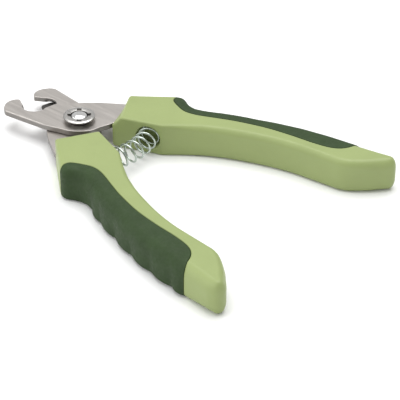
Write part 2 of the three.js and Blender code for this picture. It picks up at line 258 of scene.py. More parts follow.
def dense(runs, step):
    """Closed outline at even spacing through runs that each start where the last one ended."""
    return np.vstack([spaced(run, max(2, math.ceil(run_length(run) / step))) for run in runs])


def finger_side(bulge):
    """Outer side of the grip: one shallow scallop for each finger, or one smooth curve where bulge is nothing."""
    if not bulge:
        return spline([GRIP_END, *FINGER_CUSPS, VALLEY])
    start, points = np.array(GRIP_END), [np.array(GRIP_END)]
    for cusp in FINGER_CUSPS:
        end = np.array(cusp)
        along = (end - start) / np.hypot(*(end - start))
        middle = (start + end) / 2 + 2 * bulge * np.array([along[1], -along[0]])
        t = np.linspace(0, 1, 17)[1:, None]
        points.extend((1 - t) ** 2 * start + 2 * t * (1 - t) * middle + t**2 * end)
        start = end
    return np.array([*points, VALLEY])


def handle_plan(bulge, sizes):
    """Plan of a handle at its foot and at its top, and the width and height of the rounding at top and foot."""
    face, palm, cap, crown, foot_in = (v / MM for v in (sizes.face_radius, sizes.palm_radius, sizes.cap_radius,
                                                        sizes.crown_radius, sizes.foot_radius))

    def runs(inner, outer):
        return [
            ([outer, inner], face, face),
            ([inner, SPRING_FACE[0]], face, face),
            (SPRING_FACE, face, face),
            (spline([SPRING_FACE[1], *PALM_CURVE[:2]]), palm, palm * 0.8),
            (spline([*PALM_CURVE[1:], *HEEL[:1]]), palm, palm * 0.8),
            (spline([*HEEL, *TIP]), cap, cap),
            ([TIP[-1], GRIP_END], crown, foot_in * 1.3),
            (finger_side(bulge), crown, foot_in),
            (spline([VALLEY, *SHOULDER[::-1]]), crown * 0.6, foot_in * 0.8),
            ([SHOULDER[0], outer], face * 1.2, face),
        ]

    inner_corner, fingers_run = 1, 7  # places in the list of runs
    foot, top = runs(FRONT_INNER, FRONT_OUTER), runs(SLOPE_INNER, SLOPE_OUTER)
    counts = [5 if i == inner_corner else math.ceil(run_length(run[0]) / PLAN_STEP) for i, run in enumerate(foot)]
    plans = [eased(np.vstack([spaced(run[0], n) for run, n in zip(side, counts)]), 4) for side in (foot, top)]
    if bulge:
        fingers = eased(np.repeat([float(i == fingers_run) for i in range(len(counts))], counts), 40)[:, None]
        plans[1] = plans[0] * (1 - fingers) + eased(plans[0], 150) * fingers
    room = np.minimum(*(bend_radius(eased(plan, INSET_EASING)) for plan in plans)).clip(max=20)
    room = 0.85 * np.min([np.roll(room, shift, 0) for shift in range(-3, 4)], axis=0)
    edges = []
    for which in (1, 2):
        ends = [run[which] for run in foot]
        reach = np.concatenate([np.linspace(ends[i - 1], ends[i], n, endpoint=False) for i, n in enumerate(counts)])
        rise = eased(reach * (1 + CROWN_STRETCH * reach), 12)
        edges.append((eased(np.minimum(reach, room), 12), rise))
    return plans, edges


# ---- meshes, in millimetres ----


def skin(rings):
    """Mesh through stacked closed rings of equally many points, with a face over each end."""
    rings = np.array(rings, float)
    levels, count = rings.shape[:2]
    faces = []
    for lower in range(levels - 1):
        a, b = lower * count, (lower + 1) * count
        faces += [(a + i, a + (i + 1) % count, b + (i + 1) % count, b + i) for i in range(count)]
    faces.append(tuple(range(count - 1, -1, -1)))
    faces.append(tuple(range((levels - 1) * count, levels * count)))
    mesh = bpy.data.meshes.new("skin")
    mesh.from_pydata(rings.reshape(-1, 3).tolist(), [], faces)
    return mesh


def level(points, z):
    return np.column_stack([points, np.broadcast_to(z, len(points))])


def prism(points, low, high):
    return skin([level(points, low), level(points, high)])


def moulding(bulge, sizes):
    """A whole handle with rounded edges. The plain one slopes back over the blade at its front; the one with
    finger scallops loses them towards its top."""
    plans, ((top_in, top_down), (foot_in, foot_up)) = handle_plan(bulge, sizes)
    foot, top = plans
    normals = [outward(eased(plan, INSET_EASING)) for plan in plans]
    turns = np.linspace(0, math.pi / 2, 9)
    rings = []

    def ring(inset, z):
        low, high = SCALLOP_FADE if bulge else (SLOPE_Z, HANDLE_THICK)
        share = np.clip((z - low) / (high - low), 0, 1)[:, None]
        plan = foot * (1 - share) + top * share
        normal = normals[0] * (1 - share) + normals[1] * share
        rings.append(level(plan - normal * inset[:, None], z))

    for turn in turns[::-1]:
        ring(foot_in * (1 - math.cos(turn)), foot_up * (1 - math.sin(turn)))
    for i, z in enumerate(MIDDLE_HEIGHTS):
        above, below = 0.05 * (i + 1), 0.05 * (len(MIDDLE_HEIGHTS) - i)
        ring(foot_in * 0, np.clip(z, foot_up + above, HANDLE_THICK - top_down - below))
    for turn in turns:
        ring(top_in * (1 - math.cos(turn)), HANDLE_THICK - top_down * (1 - math.sin(turn)))
    return skin(rings)


def flared(points, rounding):
    """Through cutter that opens out over and under the handle, so that the edge it leaves is rounded."""
    turns = np.linspace(0, math.pi / 2, 6)
    steps = [(rounding * (1 - math.cos(t)), HANDLE_THICK - rounding * (1 - math.sin(t))) for t in turns]
    upper = steps + [(rounding, HANDLE_THICK + 1)]
    lower = [(offset, HANDLE_THICK - z) for offset, z in upper[::-1]]
    return skin([level(grown(points, offset), z) for offset, z in lower + upper])


def grip_area():
    edge = spline([*GRIP_EDGE, GRIP_END])
    corners = [GRIP_END, *GRIP_CUT_OUT, GRIP_EDGE[0]]
    return dense([edge, *zip(corners, corners[1:])], 0.7)


def beside_grip():
    """Everything of the handle's plan that the grip doesn't cover."""
    edge = spline([*GRIP_EDGE, GRIP_END])[::-1]
    corners = [GRIP_EDGE[0], GRIP_CUT_OUT[1], *PLAN_CUT_OUT, GRIP_CUT_OUT[0], GRIP_END]
    return dense([edge, *zip(corners, corners[1:])], 0.7)


def grip_bed(inset):
    """Firm bed under the grip: everything behind the outer side, set in from it, from the top and the underside."""
    side = np.vstack([finger_side(0), spline([VALLEY, *SHOULDER[::-1]])[1:]]) + inset * BED_SHIFT
    left, right = side[-1, 0] - 12, side[0, 0] + 12
    corners = [side[-1], (left, side[-1, 1] - 4), (left, 0), (right, 0), (right, side[0, 1] + 3), side[0]]
    points = dense([side, *zip(corners, corners[1:])], 1.0)
    return prism(points, inset, HANDLE_THICK - inset)


def rounded(profile, radius, closed=False, steps=5):
    """A profile with each corner replaced by a small curve."""
    points = [np.array(p, float) for p in profile]
    count = len(points)
    out = []
    for i, point in enumerate(points):
        if not closed and i in (0, count - 1):
            out.append(point)
            continue
        before, after = points[i - 1] - point, points[(i + 1) % count] - point
        reach = min(radius, 0.45 * np.hypot(*before), 0.45 * np.hypot(*after))
        a, b = point + before / np.hypot(*before) * reach, point + after / np.hypot(*after) * reach
        for t in np.linspace(0, 1, steps):
            out.append((1 - t) ** 2 * a + 2 * t * (1 - t) * point + t**2 * b)
    return out


def turned(profile, centre=(0, 0), closed=False, around=96):
    """Lathe of (radius, height) points that start and end on the axis, or close on themselves."""
    bm = bmesh.new()
    rings = []
    for radius, z in profile:
        if radius < 1e-6:
            rings.append([bm.verts.new((centre[0], centre[1], z))])
            continue
        turns = np.linspace(0, 2 * math.pi, around, endpoint=False)
        rings.append([bm.verts.new((centre[0] + radius * math.cos(t), centre[1] + radius * math.sin(t), z))
                      for t in turns])
    pairs = list(zip(rings, rings[1:])) + ([(rings[-1], rings[0])] if closed else [])
    for a, b in pairs:
        for i in range(around):
            j = (i + 1) % around
            corners = [a[i % len(a)], a[j % len(a)], b[j % len(b)], b[i % len(b)]]
            unique = list(dict.fromkeys(corners))
            if len(unique) > 2:
                bm.faces.new(unique)
    bmesh.ops.recalc_face_normals(bm, faces=bm.faces)
    mesh = bpy.data.meshes.new("turned")
    bm.to_mesh(mesh)
    bm.free()
    return mesh


def box_mesh(size, matrix):
    bm = bmesh.new()
    bmesh.ops.create_cube(bm, size=1, matrix=matrix @ Matrix.Diagonal((*size, 1)))
    mesh = bpy.data.meshes.new("box")
    bm.to_mesh(mesh)
    bm.free()
    return mesh


def evaluated(mesh, prepare):
    """The mesh after the modifiers that prepare adds to an object of it."""
    holder = bpy.data.objects.new("holder", mesh)
    bpy.context.scene.collection.objects.link(holder)
    spare = prepare(holder) or []
    bpy.context.view_layer.update()
    result = bpy.data.meshes.new_from_object(holder.evaluated_get(bpy.context.evaluated_depsgraph_get()))
    for thing in [holder, *spare]:
        bpy.data.objects.remove(thing)
    return result


def cut_from(base, tools):
    """The base mesh with every tool cut from it."""

    def prepare(holder):
        cutters = []
        for tool in tools:
            cutter = bpy.data.objects.new("cutter", tool)
            bpy.context.scene.collection.objects.link(cutter)
            modifier = holder.modifiers.new("cut", "BOOLEAN")
            modifier.operation, modifier.solver, modifier.object = "DIFFERENCE", "EXACT", cutter
            cutters.append(cutter)
        return cutters

    result = evaluated(base, prepare)
    if not result.polygons:
        raise RuntimeError("a cut left nothing of the piece")
    return result


MIRRORED = Matrix.Diagonal((1, -1, 1, 1))
TURNED_OVER = Matrix.Translation((0, 0, HANDLE_THICK)) @ Matrix.Rotation(math.pi, 4, "X")


def finished(name, mesh, finish, body, node, place=Matrix.Identity(4), crisp=32):
    """Takes a mesh from millimetres into the row frame, gives it its normals and finish, and puts it on its body."""
    bm = bmesh.new()
    bm.from_mesh(mesh)
    bmesh.ops.transform(bm, matrix=place, verts=bm.verts)
    bmesh.ops.remove_doubles(bm, verts=bm.verts, dist=1e-4)
    bmesh.ops.recalc_face_normals(bm, faces=bm.faces)
    bmesh.ops.transform(bm, matrix=Matrix.Scale(MM, 4) @ Matrix.Translation((PIVOT_X, 0, 0)), verts=bm.verts)
    plain = bpy.data.meshes.new(name)
    bm.to_mesh(plain)
    bm.free()
    plain.polygons.foreach_set("use_smooth", [True] * len(plain.polygons))
    plain.polygons.foreach_set("material_index", [0] * len(plain.polygons))
    plain.set_sharp_from_angle(angle=math.radians(crisp))

    def prepare(holder):
        holder.modifiers.new("normals", "WEIGHTED_NORMAL").keep_sharp = True

    result = evaluated(plain, prepare)
    result.name = name
    result.materials.clear()
    result.materials.append(MAKERS[finish]())
    piece = bpy.data.objects.new(name, result)
    bpy.context.scene.collection.objects.link(piece)
    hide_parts(node)
    if body:
        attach(piece, body)
    return piece


# ---- node trees ----


class NodeBench:
    """Short calls for adding nodes to a tree and joining them."""

    def __init__(self, tree):
        self.tree = tree

    def add(self, kind, inputs=None, **settings):
        node = self.tree.nodes.new(kind)
        for key, value in settings.items():
            setattr(node, key, value)
        for key, value in (inputs or {}).items():
            self.join(value, node.inputs[key])
        return node

    def join(self, value, socket):
        if isinstance(value, bpy.types.NodeSocket):
            self.tree.links.new(value, socket)
        elif isinstance(value, bpy.types.Node):
            self.tree.links.new(value.outputs[0], socket)
        else:
            socket.default_value = value

    def math(self, operation, *values):
        kind = "ShaderNodeMath"
        return self.add(kind, dict(enumerate(values)), operation=operation).outputs[0]

    def vector(self, operation, *values):
        return self.add("ShaderNodeVectorMath", dict(enumerate(values)), operation=operation)


def geometry_tree(name, inputs):
    """A geometry node tree with a geometry socket and named number inputs, and the inputs' identifiers."""
    tree = bpy.data.node_groups.new(name, "GeometryNodeTree")
    tree.interface.new_socket("Geometry", in_out="INPUT", socket_type="NodeSocketGeometry")
    tree.interface.new_socket("Geometry", in_out="OUTPUT", socket_type="NodeSocketGeometry")
    keys = {}
    for label, kind in inputs.items():
        keys[label] = tree.interface.new_socket(label, in_out="INPUT", socket_type=kind).identifier
    bench = NodeBench(tree)
    return tree, bench, bench.add("NodeGroupInput").outputs, keys


def grown_by_nodes(mesh, tree, keys, values):
    """The mesh that a geometry node tree makes from the given one."""

    def prepare(holder):
        modifier = holder.modifiers.new("nodes", "NODES")
        modifier.node_group = tree
        for label, value in values.items():
            modifier[keys[label]] = value

    return evaluated(mesh, prepare)


NUMBER, WHOLE = "NodeSocketFloat", "NodeSocketInt"


def coil_tree(material):
    """Round wire wound about an axis that leaves one socket straight, bends round and runs into the other."""
    tree, bench, given, keys = geometry_tree("return_spring_coil", {
        "Coil Radius": NUMBER, "Wire Radius": NUMBER, "Turns": NUMBER, "Points per Turn": WHOLE,
        "Bend Radius": NUMBER, "Bend Centre": NUMBER, "Half Bend": NUMBER, "Straight": NUMBER, "Height": NUMBER})
    m = bench.math
    last = m("FLOOR", m("MULTIPLY", given["Turns"], given["Points per Turn"]))
    line = bench.add("GeometryNodeMeshLine", {"Count": m("ADD", last, 1.0)})
    share = m("DIVIDE", bench.add("GeometryNodeInputIndex"), last)
    half = m("MULTIPLY", given["Half Bend"], given["Bend Radius"])
    total = m("MULTIPLY", 2.0, m("ADD", given["Straight"], half))
    along = m("MULTIPLY", m("SUBTRACT", 0.5, share), total)
    bent = m("MAXIMUM", m("MINIMUM", along, half), m("MULTIPLY", half, -1.0))
    angle = m("DIVIDE", bent, given["Bend Radius"])
    past = m("SUBTRACT", along, bent)
    side_x, side_y = m("COSINE", angle), m("SINE", angle)
    turn = m("MULTIPLY", m("MULTIPLY", share, given["Turns"]), 2 * math.pi)
    reach = m("ADD", given["Bend Radius"], m("MULTIPLY", given["Coil Radius"], m("COSINE", turn)))
    x = m("ADD", given["Bend Centre"], m("SUBTRACT", m("MULTIPLY", side_x, reach), m("MULTIPLY", past, side_y)))
    y = m("ADD", m("MULTIPLY", side_y, reach), m("MULTIPLY", past, side_x))
    z = m("ADD", given["Height"], m("MULTIPLY", given["Coil Radius"], m("SINE", turn)))
    path = bench.add("GeometryNodeMeshToCurve", {"Mesh": line})
    wound = bench.add("GeometryNodeSetPosition",
                      {"Geometry": path, "Position": bench.add("ShaderNodeCombineXYZ", {0: x, 1: y, 2: z})})
    section = bench.add("GeometryNodeCurvePrimitiveCircle", {"Resolution": 14, "Radius": given["Wire Radius"]})
    wire = bench.add("GeometryNodeCurveToMesh", {"Curve": wound, "Profile Curve": section, "Fill Caps": True})
    real = bench.add("GeometryNodeRealizeInstances", {"Geometry": wire})
    clad = bench.add("GeometryNodeSetMaterial", {"Geometry": real, "Material": material})
    bench.add("NodeGroupOutput", {"Geometry": clad})
    return tree, keys


def notch_tree(material):
    """Square notches spaced evenly round a ring's bore, cut from its top."""
    tree, bench, given, keys = geometry_tree("ring_notches", {
        "Notches": WHOLE, "First Angle": NUMBER, "Bore Radius": NUMBER, "Top": NUMBER, "Width": NUMBER,
        "Depth": NUMBER, "Reach": NUMBER})
    m = bench.math
    angle = m("ADD", given["First Angle"],
              m("DIVIDE", m("MULTIPLY", bench.add("GeometryNodeInputIndex"), 2 * math.pi), given["Notches"]))
    place = bench.add("ShaderNodeCombineXYZ", {0: m("MULTIPLY", given["Bore Radius"], m("COSINE", angle)),
                                               1: m("MULTIPLY", given["Bore Radius"], m("SINE", angle)),
                                               2: given["Top"]})
    points = bench.add("GeometryNodePoints", {"Count": given["Notches"], "Position": place})
    size = bench.add("ShaderNodeCombineXYZ", {0: m("MULTIPLY", 2.0, given["Reach"]), 1: given["Width"],
                                              2: m("MULTIPLY", 2.0, given["Depth"])})
    block = bench.add("GeometryNodeMeshCube", {"Size": size})
    set_out = bench.add("GeometryNodeInstanceOnPoints", {
        "Points": points, "Instance": block, "Rotation": bench.add("ShaderNodeCombineXYZ", {2: angle})})
    cutters = bench.add("GeometryNodeRealizeInstances", {"Geometry": set_out})
    cut = bench.add("GeometryNodeMeshBoolean", operation="DIFFERENCE", solver="EXACT")
    bench.join(given["Geometry"], cut.inputs["Mesh 1"])
    bench.join(cutters, cut.inputs["Mesh 2"])
    real = bench.add("GeometryNodeRealizeInstances", {"Geometry": cut})
    clad = bench.add("GeometryNodeSetMaterial", {"Geometry": real, "Material": material})
    bench.add("NodeGroupOutput", {"Geometry": clad})
    return tree, keys


# ---- finishes ----


def shader(name, settings):
    """A material with its Principled shader set, the bench to add nodes on, and object coordinates."""
    found = bpy.data.materials.get(name)
    if found:
        return found, None, None, None
    material = bpy.data.materials.new(name)
    material.use_nodes = True
    bench = NodeBench(material.node_tree)
    surface = material.node_tree.nodes["Principled BSDF"]
    for key, value in settings.items():
        surface.inputs[key].default_value = value
    return material, bench, surface, bench.add("ShaderNodeTexCoord").outputs["Object"]


def grain(bench, vector, scale, detail=2.0, low=0.0, high=1.0, stretch=None, dimensions="3D"):
    """Noise between low and high, at a scale in features per metre, drawn out where stretch says."""
    if stretch:
        vector = bench.add("ShaderNodeMapping", {"Vector": vector, "Rotation": (0, 0, stretch[1]),
                                                 "Scale": stretch[0]})
    noise = bench.add("ShaderNodeTexNoise", {"Scale": scale, "Detail": detail}, noise_dimensions=dimensions)
    bench.join(vector, noise.inputs["W" if dimensions == "1D" else "Vector"])
    return bench.add("ShaderNodeMapRange", {"Value": noise.outputs[0], "From Min": 0.3, "From Max": 0.7,
                                            "To Min": low, "To Max": high}).outputs[0]


def shaded(bench, surface, colour, amount, field):
    """Base colour that grows a little lighter and darker with a field from 0 to 1."""
    tones = [tuple(c * f for c in colour) + (1,) for f in (1 - amount, 1 + amount)]
    mix = bench.add("ShaderNodeMix", {"Factor": field}, data_type="RGBA")
    mix.inputs[6].default_value, mix.inputs[7].default_value = tones
    bench.join(mix.outputs[2], surface.inputs["Base Color"])


def upright_painted_shade(bench, surface, tone):
    """Painted shade: darkens the base colour on faces that stand upright, such as the cut edges of a ground plate.
    """
    upright = bench.add("ShaderNodeSeparateXYZ", {"Vector": bench.add("ShaderNodeTexCoord").outputs["Normal"]})
    shade_factor = bench.add("ShaderNodeMapRange", {"Value": bench.math("ABSOLUTE", upright.outputs["Z"]), "From Min": 0.35,
                                            "From Max": 0.85, "To Min": tone, "To Max": 1.0}).outputs[0]
    scaled = bench.vector("SCALE", surface.inputs["Base Color"].links[0].from_socket)
    bench.join(shade_factor, scaled.inputs["Scale"])
    bench.join(scaled, surface.inputs["Base Color"])


def relief(bench, surface, *layers):
    """Bump layers, each a height field with its depth in metres."""
    normal = None
    for field, depth in layers:
        bump = bench.add("ShaderNodeBump", {"Strength": 1.0, "Distance": depth, "Height": field})
        if normal:
            bench.join(normal, bump.inputs["Normal"])
        normal = bump.outputs[0]
    bench.join(normal, surface.inputs["Normal"])


def colours():
    return bpy.context.scene.trimmer_colours


def plastic_finish():
    material, bench, surface, place = shader("green_plastic_satin", {"IOR": 1.48, "Specular IOR Level": 0.45})
    if bench:
        shaded(bench, surface, colours().plastic, 0.03, grain(bench, place, 60, 3.0))
        bench.join(grain(bench, place, 220, 3.0, 0.36, 0.50), surface.inputs["Roughness"])
        height = bench.add("ShaderNodeSeparateXYZ", {0: place}).outputs["Z"]
        apart = bench.math("ABSOLUTE", bench.math("SUBTRACT", height, HANDLE_THICK * MM / 2))
        parting = bench.math("LESS_THAN", apart, 0.00007)
        relief(bench, surface, (grain(bench, place, 5200, 2.0), 0.000012), (grain(bench, place, 420), 0.00003),
               (parting, 0.00002))
    return material


def grained_finish(name, settings, colour, amount, tone_scale, rough, *bumps):
    """An even material whose tone, roughness and bumps come from noise, its scales in features per metre."""
    material, bench, surface, place = shader(name, settings)
    if bench:
        shaded(bench, surface, colour, amount, grain(bench, place, tone_scale, 3.0))
        bench.join(grain(bench, place, *rough), surface.inputs["Roughness"])
        relief(bench, surface, *((grain(bench, place, scale), depth) for scale, depth in bumps))
    return material


def rubber_finish():
    return grained_finish("dark_rubber_matte", {"IOR": 1.48, "Specular IOR Level": 0.3}, colours().rubber, 0.10, 150,
                          (700, 2.0, 0.56, 0.72), (3800, 0.00003), (500, 0.00004))


def blade_finish():
    material, bench, surface, place = shader("blade_steel_ground", {"Metallic": 1.0})
    if bench:
        lines = grain(bench, place, 900, 4.0, stretch=((0.06, 4.0, 1.0), math.radians(62)))
        shaded(bench, surface, colours().blade, 0.07, lines)
        # painted shade on the blade's upright cut edges
        upright_painted_shade(bench, surface, 0.42)
        bench.join(grain(bench, place, 300, 3.0, 0.30, 0.42, stretch=((0.15, 3.0, 1.0), math.radians(62))),
                   surface.inputs["Roughness"])
        relief(bench, surface, (lines, 0.000006), (grain(bench, place, 200), 0.00001))
    return material


def turned_finish(name, colour, amount, low, high, depth):
    """Turned metal: fine marks in circles about the pivot axis, roughness from low to high, marks of a depth."""
    material, bench, surface, place = shader(name, {"Metallic": 1.0})
    if bench:
        centred = bench.add("ShaderNodeMapping", {"Vector": place, "Location": (-PIVOT_X * MM, 0, 0),
                                                  "Scale": (1, 1, 0)})
        radius = bench.vector("LENGTH", centred).outputs["Value"]
        marks = grain(bench, radius, 4200, 3.0, dimensions="1D")
        shaded(bench, surface, colour, amount, marks)
        # painted shade on the upright faces of the turned pieces
        upright_painted_shade(bench, surface, 0.4)
        bench.join(grain(bench, place, 500, 3.0, low, high), surface.inputs["Roughness"])
        relief(bench, surface, (marks, depth), (grain(bench, place, 900), depth))
    return material


def hardware_finish():
    return turned_finish("hardware_steel_turned", colours().hardware, 0.08, 0.24, 0.36, 0.000006)


# Near-black plate finish: painted shade, for the plate lying in the blades' shadow.
def shade_painted_finish():
    return grained_finish("stop_plate_shade_painted", {"Metallic": 0.6}, colours().shade_painted, 0.12, 600,
                          (900, 3.0, 0.42, 0.55), (4000, 0.00001))


def chrome_finish():
    return turned_finish("bright_chrome_polished", colours().chrome, 0.02, 0.05, 0.12, 0.000001)


def wire_finish():
    return grained_finish("spring_wire_zinc", {"Metallic": 1.0}, colours().wire, 0.08, 900, (1500, 3.0, 0.18, 0.34),
                          (6000, 0.000008))


MAKERS = {
    "green_plastic": plastic_finish,
    "dark_rubber": rubber_finish,
    "blade_steel": blade_finish,
    "hardware_steel": hardware_finish,
    "shade_painted_steel": shade_painted_finish,
    "bright_chrome": chrome_finish,
    "spring_wire": wire_finish,
}


# ---- handles ----


def socket_place():
    """Centre of the spring's socket on the spring face, and the unit direction into the handle."""
    start, end = (np.array(p) for p in SPRING_FACE)
    along = (end - start) / np.hypot(*(end - start))
    return start + (end - start) * SOCKET_ALONG, np.array([-along[1], along[0]])


def socket_cutter():
    """Blind round hole with a rounded rim, from outside the spring face inwards."""
    centre, inward = socket_place()
    rim = 0.45
    profile = [(0, SOCKET_DEPTH), (SOCKET_R - 0.6, SOCKET_DEPTH), (SOCKET_R, SOCKET_DEPTH - 0.6), (SOCKET_R, rim),
               (SOCKET_R + 0.12, rim * 0.45), (SOCKET_R + rim * 0.55, 0.08), (SOCKET_R + rim, 0),
               (SOCKET_R + rim, -2), (0, -2)]
    mesh = turned(profile, around=72)
    axis = Vector((inward[0], inward[1], 0)).to_track_quat("Z", "Y").to_matrix().to_4x4()
    mesh.transform(Matrix.Translation((centre[0], centre[1], HANDLE_THICK / 2)) @ axis)
    return mesh


def tang_pocket(low, high):
    """Pocket for the blade's tang, with pegs through the tang's holes."""
    pocket = prism(grown(blade_outline(0.8), HIDDEN_GAP), low - HIDDEN_GAP, high + HIDDEN_GAP)
    pegs = [turned([(0, low - 1), (TANG_HOLE_R - HIDDEN_GAP, low - 1), (TANG_HOLE_R - HIDDEN_GAP, high + 1),
                    (0, high + 1)], centre, around=32) for centre in TANG_HOLES]
    return cut_from(pocket, pegs)


def handle_core(blade_z, sizes):
    rounding = sizes.seam_radius / MM
    recess = cut_from(flared(grown(grip_area(), SEAM_GAP), rounding),
                      [grip_bed(sizes.grip_skin / MM + HIDDEN_GAP)])
    return cut_from(moulding(0, sizes), [recess, socket_cutter(), tang_pocket(*blade_z)])


def handle_grip(sizes):
    cutter = flared(grown(beside_grip(), SEAM_GAP), sizes.seam_radius / MM)
    return cut_from(moulding(sizes.finger_bulge / MM, sizes), [cutter, grip_bed(sizes.grip_skin / MM)])


# ---- blades ----


def blade_runs():
    """The blade's outline in runs: back, pivot curve, straight sides, throat, nail notch, its lip and the hook."""
    notch = arc(NOTCH_CENTRE, NOTCH_R, 0, NOTCH_END)
    corners = [*PIVOT_CURVE[-1:], BLADE_HEEL, *TANG_INNER[::-1], *TANG_OUTER[::-1], *BLADE_OUTER[::-1], THROAT]
    return [
        [JAW_BACK[1], JAW_BACK[0]],
        spline([JAW_BACK[0], *PIVOT_CURVE]),
        corners,
        [THROAT, notch[0]],
        notch,
        [notch[-1], HOOK[-1]],
        spline([*HOOK[::-1], JAW_BACK[1]]),
    ]


def blade_outline(step):
    return dense(blade_runs(), step)


def blade_blank(sizes):
    """A blade with broken edges, a chamfered back and the ground bevel round its notch."""
    step = 0.4
    runs = blade_runs()
    counts = [max(2, math.ceil(run_length(run) / step)) for run in runs]
    plan = eased(np.vstack([spaced(run, n) for run, n in zip(runs, counts)]), 2)
    edge = sizes.blade_edge / MM
    back_chamfer = 0.55
    top_edge = eased(np.repeat([back_chamfer] + [edge] * (len(runs) - 1), counts), 3)
    ground = eased(np.repeat([0, 0, 0, 0.25, 1, 0.25, 0], counts), 4)  # share of the bevel on each run
    low, high = UPPER_BLADE_Z
    land, bevel = 0.9, sizes.notch_bevel / MM
    normal = outward(plan)
    rings = []
    for turn in np.linspace(math.pi / 2, 0, 4):
        rings.append(level(plan - normal * edge * (1 - math.cos(turn)), low + edge * (1 - math.sin(turn))))
    for share in np.linspace(0, 1, 5):
        turn = share * math.pi / 2
        break_in, break_z = top_edge * (1 - math.cos(turn)), high - top_edge * (1 - math.sin(turn))
        bevel_in, bevel_z = bevel * share, low + land + (high - low - land) * share
        inset = break_in * (1 - ground) + bevel_in * ground
        rings.append(level(plan - normal * inset[:, None], break_z * (1 - ground) + bevel_z * ground))
    return skin(rings)


def through_hole(centre, radius, low, high, chamfer=0.15):
    profile = [(0, low - 1), (radius + chamfer, low - 1), (radius + chamfer, low), (radius, low + chamfer),
               (radius, high - chamfer), (radius + chamfer, high), (radius + chamfer, high + 1), (0, high + 1)]
    return turned(profile, centre, around=64)


def blade_mesh(sizes, screw_hole):
    holes = [through_hole((0, 0), SHANK_R + HIDDEN_GAP, *UPPER_BLADE_Z)]
    holes += [through_hole(centre, TANG_HOLE_R, *UPPER_BLADE_Z) for centre in TANG_HOLES]
    if screw_hole:
        holes.append(through_hole((STOP_SCREW[0], -STOP_SCREW[1]), STOP_HOLE_R, *UPPER_BLADE_Z))
    return cut_from(blade_blank(sizes), holes)


# ---- operators ----


class PieceOperator(bpy.types.Operator):
    """Shared settings of the operators that build pieces."""

    bl_idname = "trimmer.piece"
    bl_label = "Piece"
    bl_options = {"REGISTER", "UNDO"}

    def execute(self, context):
        self.build(context.scene.trimmer_sizes)
        return {"FINISHED"}


class TRIMMER_OT_blades(PieceOperator):
    """Builds the two ground blades, the lower one turned over"""

    bl_idname = "trimmer.blades"
    bl_label = "Blades"

    def build(self, sizes):
        finished("upper_blade_ground", blade_mesh(sizes, False), "blade_steel", "upper_half", "upper_blade")
        finished("lower_blade_ground", blade_mesh(sizes, True), "blade_steel", "lower_half", "lower_blade",
                 TURNED_OVER)


class TRIMMER_OT_handle_cores(PieceOperator):
    """Builds the two firm handle mouldings with their sockets and tang pockets"""

    bl_idname = "trimmer.handle_cores"
    bl_label = "Handle Cores"

    def build(self, sizes):
        lower_z = tuple(HANDLE_THICK - z for z in UPPER_BLADE_Z[::-1])
        finished("upper_handle_moulding", handle_core(UPPER_BLADE_Z, sizes), "green_plastic", "upper_half",
                 "upper_handle_core")
        finished("lower_handle_moulding", handle_core(lower_z, sizes), "green_plastic", "lower_half",
                 "lower_handle_core", MIRRORED)


class TRIMMER_OT_handle_grips(PieceOperator):
    """Builds the two soft grips with their finger scallops"""

    bl_idname = "trimmer.handle_grips"
    bl_label = "Handle Grips"

    def build(self, sizes):
        finished("upper_soft_grip", handle_grip(sizes), "dark_rubber", "upper_half", "upper_handle_grip")
        finished("lower_soft_grip", handle_grip(sizes), "dark_rubber", "lower_half", "lower_handle_grip", MIRRORED)


class TRIMMER_OT_pivot(PieceOperator):
    """Builds the pivot bolt, its washer, the notched ring and the dome nut"""

    bl_idname = "trimmer.pivot"
    bl_label = "Pivot"

    def build(self, sizes):
        bolt = [(0, 2.3), (3.4, 2.3), (5.3, 2.55), (6, 3.0), (6, 3.6), (SHANK_R, 3.6), (SHANK_R, 9.9), (NECK_R, 9.9),
                (NECK_R, NECK_TOP), (0, NECK_TOP)]
        finished("pivot_bolt_turned", turned(rounded(bolt, 0.3)), "hardware_steel", "lower_half", "pivot_bolt")
        washer = [(3.7, 3.9), (6.2, 3.9), (6.2, 4.7), (3.7, 4.7)]
        finished("pivot_washer_pressed", turned(rounded(washer, 0.2, True), closed=True), "hardware_steel",
                 "lower_half", "pivot_washer")
        outer = sizes.ring_radius / MM
        ring = [(RING_INNER, RING_LOW), (RING_NECK, RING_LOW), (RING_NECK, RING_FLANGE), (outer, RING_FLANGE),
                (outer, RING_TOP - 0.3), (outer - 0.9, RING_TOP - 0.02), (outer - 1.7, RING_TOP),
                (RING_INNER, RING_TOP - 0.1)]
        tree, keys = notch_tree(hardware_finish())
        notched = grown_by_nodes(turned(rounded(ring, 0.22, True), closed=True), tree, keys, {
            "Notches": sizes.ring_notches, "First Angle": sizes.notch_turn, "Bore Radius": RING_INNER,
            "Top": RING_TOP, "Width": 2.0, "Depth": 1.0, "Reach": 1.3})
        finished("pivot_ring_notched", notched, "hardware_steel", "lower_half", "pivot_notched_ring")
        top = sizes.dome_top / MM
        bore = NECK_R + HIDDEN_GAP
        dome = [(0, NECK_TOP + 0.3), (bore, NECK_TOP + 0.3), (bore, DOME_LOW), (DOME_R, DOME_LOW)]
        dome += [(DOME_R * math.cos(a), DOME_SIDE + (top - DOME_SIDE) * math.sin(a))
                 for a in np.linspace(0, math.pi / 2, 18)[:-1]]
        finished("pivot_dome_polished", turned([*dome, (0, top)]), "bright_chrome", "lower_half", "pivot_dome_nut")


